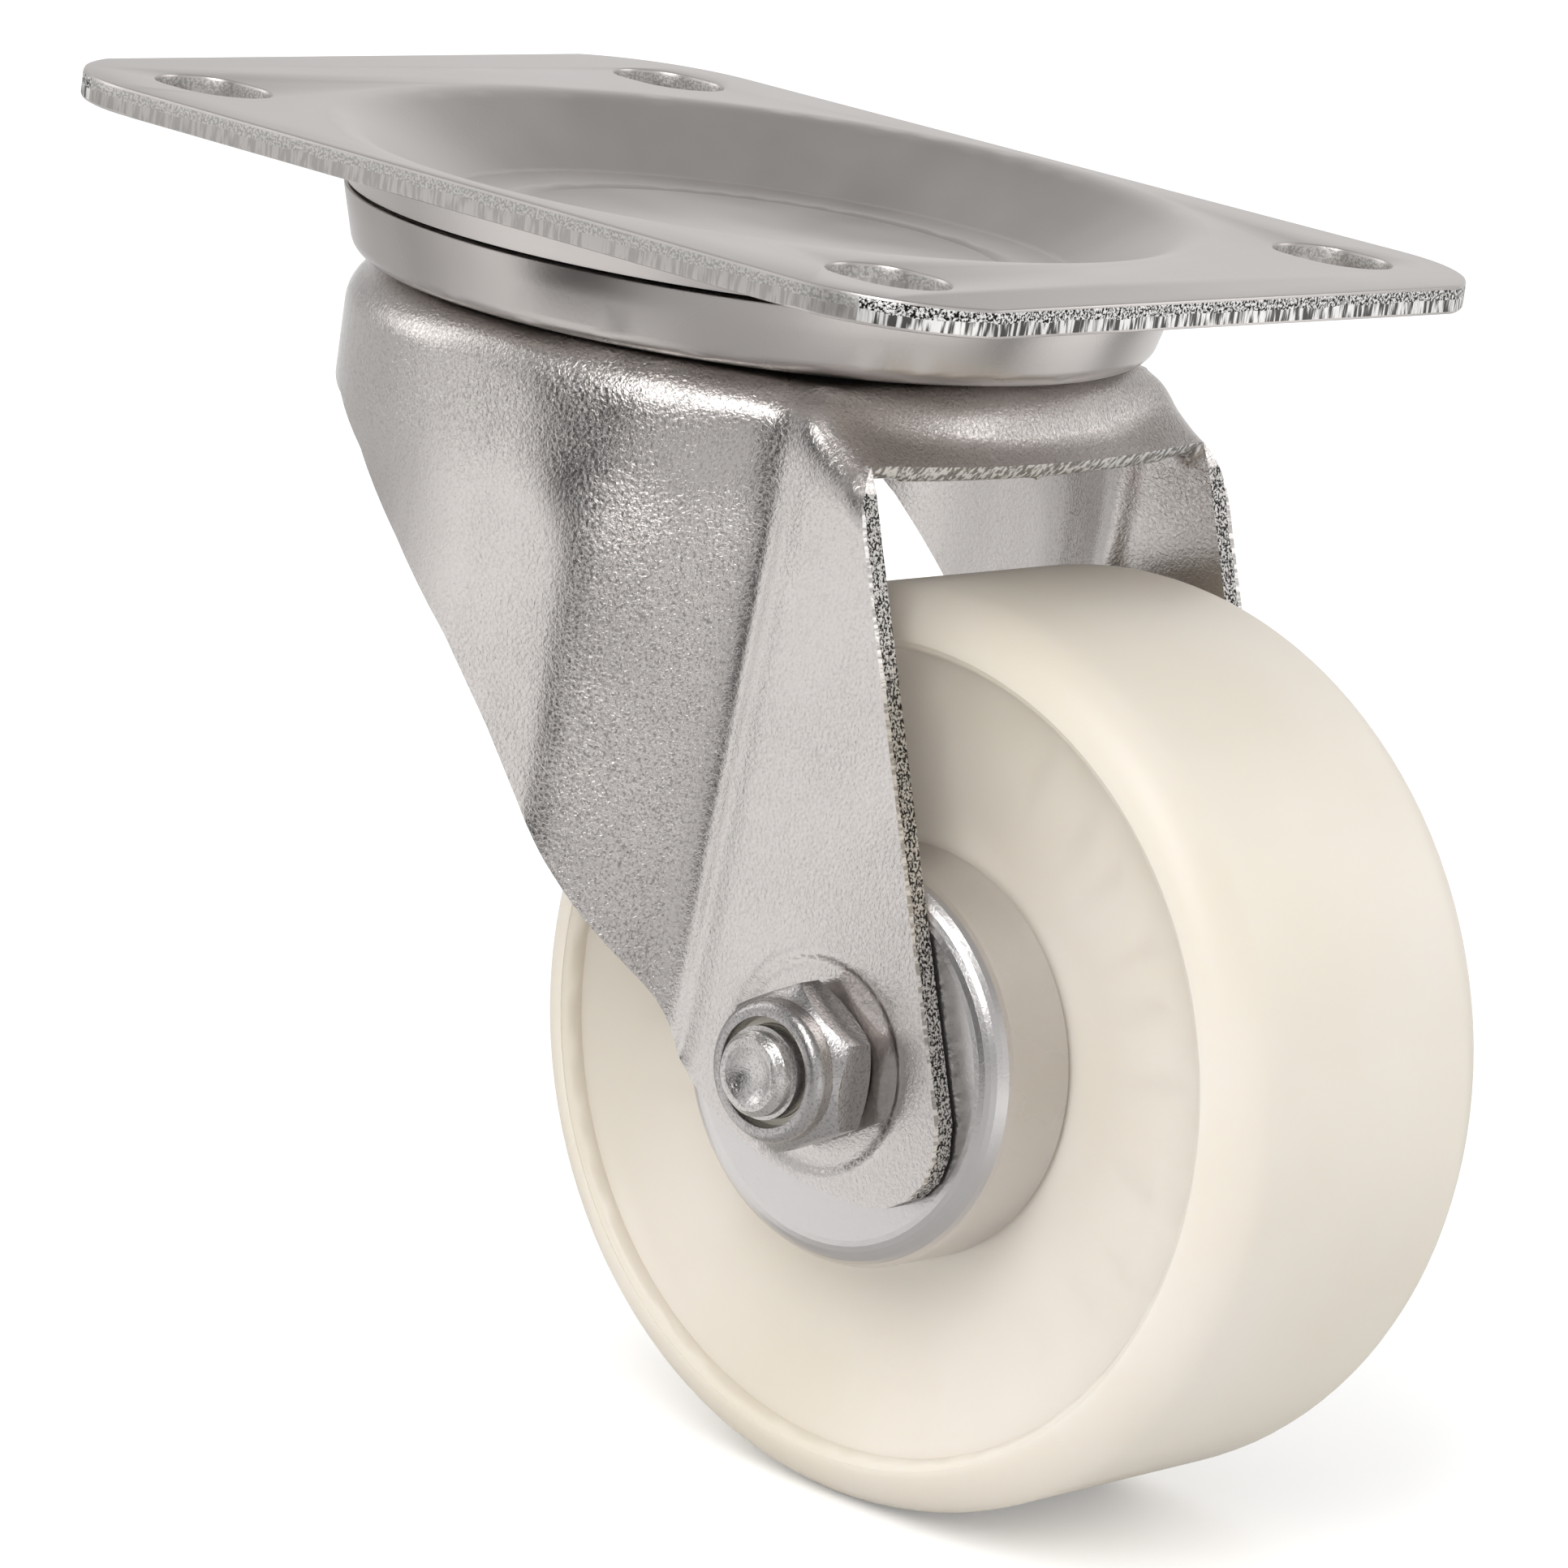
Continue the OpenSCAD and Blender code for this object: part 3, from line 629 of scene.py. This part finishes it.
def white_room():
    """The world: white to the camera, and a pale studio to everything that it lights."""
    world = bpy.data.worlds.new("room")
    bpy.context.scene.world = world
    world.use_nodes = True
    tree = world.node_tree
    tree.nodes.clear()
    direction = add(tree, "TexCoord").outputs["Generated"]
    height = add(tree, "SeparateXYZ", {"Vector": direction}).outputs["Z"]
    room = fade(tree, spread(tree, height, *ROOM_LIGHT_RANGE), 0, 1, ROOM_LIGHT)
    mirrored = mixed(tree, spread(tree, height, *WALL_TOP),
                     studio_round(tree, direction, ROOM_TONES), linear(CEILING_TONE))
    rays = add(tree, "LightPath").outputs
    lit = mixed(tree, rays["Is Glossy Ray"], room, mirrored)
    through = maths(tree, "MAXIMUM", rays["Is Camera Ray"], rays["Is Transmission Ray"])
    seen = mixed(tree, through, lit, linear("#ffffff"))
    sky = add(tree, "Background", {"Color": seen, "Strength": 1.0})
    out = add(tree, "OutputWorld")
    tree.links.new(sky.outputs["Background"], out.inputs["Surface"])


def floor():
    """A white floor that keeps the castor's shadow. To bright metal, all but the floor close
    about the castor shows the studio's tones."""
    bpy.ops.mesh.primitive_plane_add(size=FLOOR_SIZE, location=(0, 0, FLOOR_Z))
    plane = bpy.context.active_object
    plane.name = "floor"
    material, tree, out, position = new_material("white floor")
    away = add(tree, "VectorMath", {0: position}, operation="LENGTH").outputs["Value"]
    rays = add(tree, "LightPath").outputs
    around = mixed(tree, spread(tree, away, *NEAR_FLOOR),
                   studio_round(tree, position, CLOSE_TONES),
                   studio_round(tree, position, ROOM_TONES))
    tone = mixed(tree, rays["Is Glossy Ray"], linear(FLOOR_TONE), around)
    matt = add(tree, "BsdfDiffuse", {"Color": tone})
    glow = add(tree, "Emission", {"Color": tone, "Strength": FLOOR_GLOW})
    no_glow = add(tree, "Emission", {"Strength": 0.0})
    direct = maths(tree, "MAXIMUM", rays["Is Camera Ray"], rays["Is Glossy Ray"])
    seen = maths(tree, "MAXIMUM", direct, rays["Is Transmission Ray"])
    lift = add(tree, "MixShader", {0: seen, 1: no_glow.outputs["Emission"],
                                   2: glow.outputs["Emission"]})
    both = add(tree, "AddShader", {0: matt.outputs["BSDF"], 1: lift.outputs["Shader"]})
    tree.links.new(both.outputs["Shader"], out.inputs["Surface"])
    plane.data.materials.append(material)


def photo_camera():
    """A camera turned and placed as the photograph's was."""
    a, e, roll = radians(VIEW_AZIMUTH), radians(VIEW_ELEVATION), radians(VIEW_ROLL)
    back = Vector((sin(a) * cos(e), -cos(a) * cos(e), sin(e)))
    level_right = (-back).cross(Vector((0, 0, 1))).normalized()
    level_down = (-back).cross(level_right)
    right = level_right * cos(roll) - level_down * sin(roll)
    down = level_right * sin(roll) + level_down * cos(roll)
    centre = Vector((0, 0, AXLE_Z)) - right * AIM.x - down * AIM.y + back * AIM.z
    lens = bpy.data.cameras.new("camera")
    lens.lens, lens.sensor_width = LENS_MM, SENSOR_MM
    lens.clip_start, lens.clip_end = NEAREST_SEEN, FARTHEST_SEEN
    camera = bpy.data.objects.new("camera", lens)
    camera.matrix_world = Matrix((
        (right.x, -down.x, back.x, centre.x),
        (right.y, -down.y, back.y, centre.y),
        (right.z, -down.z, back.z, centre.z),
        (0, 0, 0, 1)))
    bpy.context.collection.objects.link(camera)
    bpy.context.scene.camera = camera


# Materials of this castor
plate_steel = zinc_sheet("zinc plated plate", ("#c8c3c0", "#d2cdca"),
                         grain_mm=0.4, grain_um=16, roughness=0.36)
disc_steel = zinc_sheet("zinc plated pin", ("#d6d1ce", "#dedad7"),
                        grain_mm=0.4, grain_um=14, roughness=0.34)
fork_steel = zinc_sheet("zinc plated pressing", ("#c9c4c1", "#d4cfcc"),
                        grain_mm=0.36, grain_um=200, roughness=0.22, pits=0.4, drawn="drawn")
nut_steel = zinc_sheet("zinc plated nut", ("#a9a6a5", "#b7b4b3"),
                       grain_mm=0.3, grain_um=60, roughness=0.25, pits=0.3)
bolt_steel = zinc_sheet("zinc plated bolt", ("#c0bdbb", "#cecbc9"),
                        grain_mm=0.3, grain_um=60, roughness=0.22, pits=0.3)
cap_steel = zinc_sheet("zinc plated cap", ("#cbc8c7", "#d5d2d1"),
                       grain_mm=0.35, grain_um=30, roughness=0.3)
ring_steel = zinc_sheet("zinc plated ring", ("#b3aeab", "#bfbab7"),
                        grain_mm=0.5, grain_um=8, roughness=0.28)
# The cut edges' dark tones are painted shade in their low streaks and grit, and their light
# tones painted glints on the high marks, near black and white on the plate's sheared edge
plate_edge = sheared_edge("sheared plate edge", "Z", torn_from=-1.2,
                          burnished=("#5c5a58", "#f6f4f2"), torn=("#1c1b1a", "#f4f2f0"))
slit_edge = sheared_edge("slit plate edge", "Z", torn_from=-1.2, depth_um=28,
                         burnished=("#b0acaa", "#c6c2bf"), torn=("#acaaa7", "#d0cdca"))
leg_edge = sheared_edge("sheared leg edge", "Y", torn_from=-24.3,
                        burnished=("#b8b4b1", "#f2f0ee"), torn=("#2a2827", "#d8d5d2"))
lip_edge = sheared_edge("sheared lip edge", "Z", torn_from=0, roughness=0.6,
                        burnished=("#a8a4a1", "#ffffff"), torn=("#a8a4a1", "#ffffff"))
fastener_steel = turned_steel("zinc plated fastener", "#c3c0bd", 0.24)
bearing_steel = turned_steel("ground bearing steel", "#cfcfd2", 0.16)
wheel_plastic = moulded_polyamide("natural polyamide", "#e5ded4", "#e0d8c9")
nylon = plain_plastic("natural nylon", "#e2ddcf")

# Pieces drawn again with eased edges
paint(eased("top_plate", "plate_sheet", 0.28), plate_steel, (plate_edge, on_plate_edge),
      (slit_edge, on_clean_edge))
paint(pressed_fork(), fork_steel, (leg_edge, on_leg_edge), (lip_edge, on_lip_edge))
paint(eased("king_pin", "pin_disc", 0.4), disc_steel)
paint(eased("seal_ring", "seal_cup", 0.2), ring_steel)
paint(eased("wheel", "wheel_tyre", 0.35, TURNED_SHARP_ANGLE), wheel_plastic)
paint(eased("lock_nut", "locking_nut", 0.22, TURNED_SHARP_ANGLE), nut_steel)
paint(eased("axle_bolt", "bolt", 0.2, TURNED_SHARP_ANGLE), bolt_steel)

# Not in the solids
paint(dust_lip(), plate_steel)

# The other nodes keep their shape
FINISHES = {"pressed_steel": fork_steel, "ring_steel": ring_steel,
            "turned_steel": fastener_steel, "bearing_steel": bearing_steel,
            "wheel_plastic": wheel_plastic, "small_plastic": nylon}
for node, solid in frame["nodes"].items():
    solid.data.materials.clear()
    solid.data.materials.append(cap_steel if "dust_cap" in node else FINISHES[slot_of(node)])

white_room()
floor()
for name, settings in LAMPS.items():
    soft_light(name, *settings)
photo_camera()

bpy.context.scene.view_settings.view_transform = "Standard"
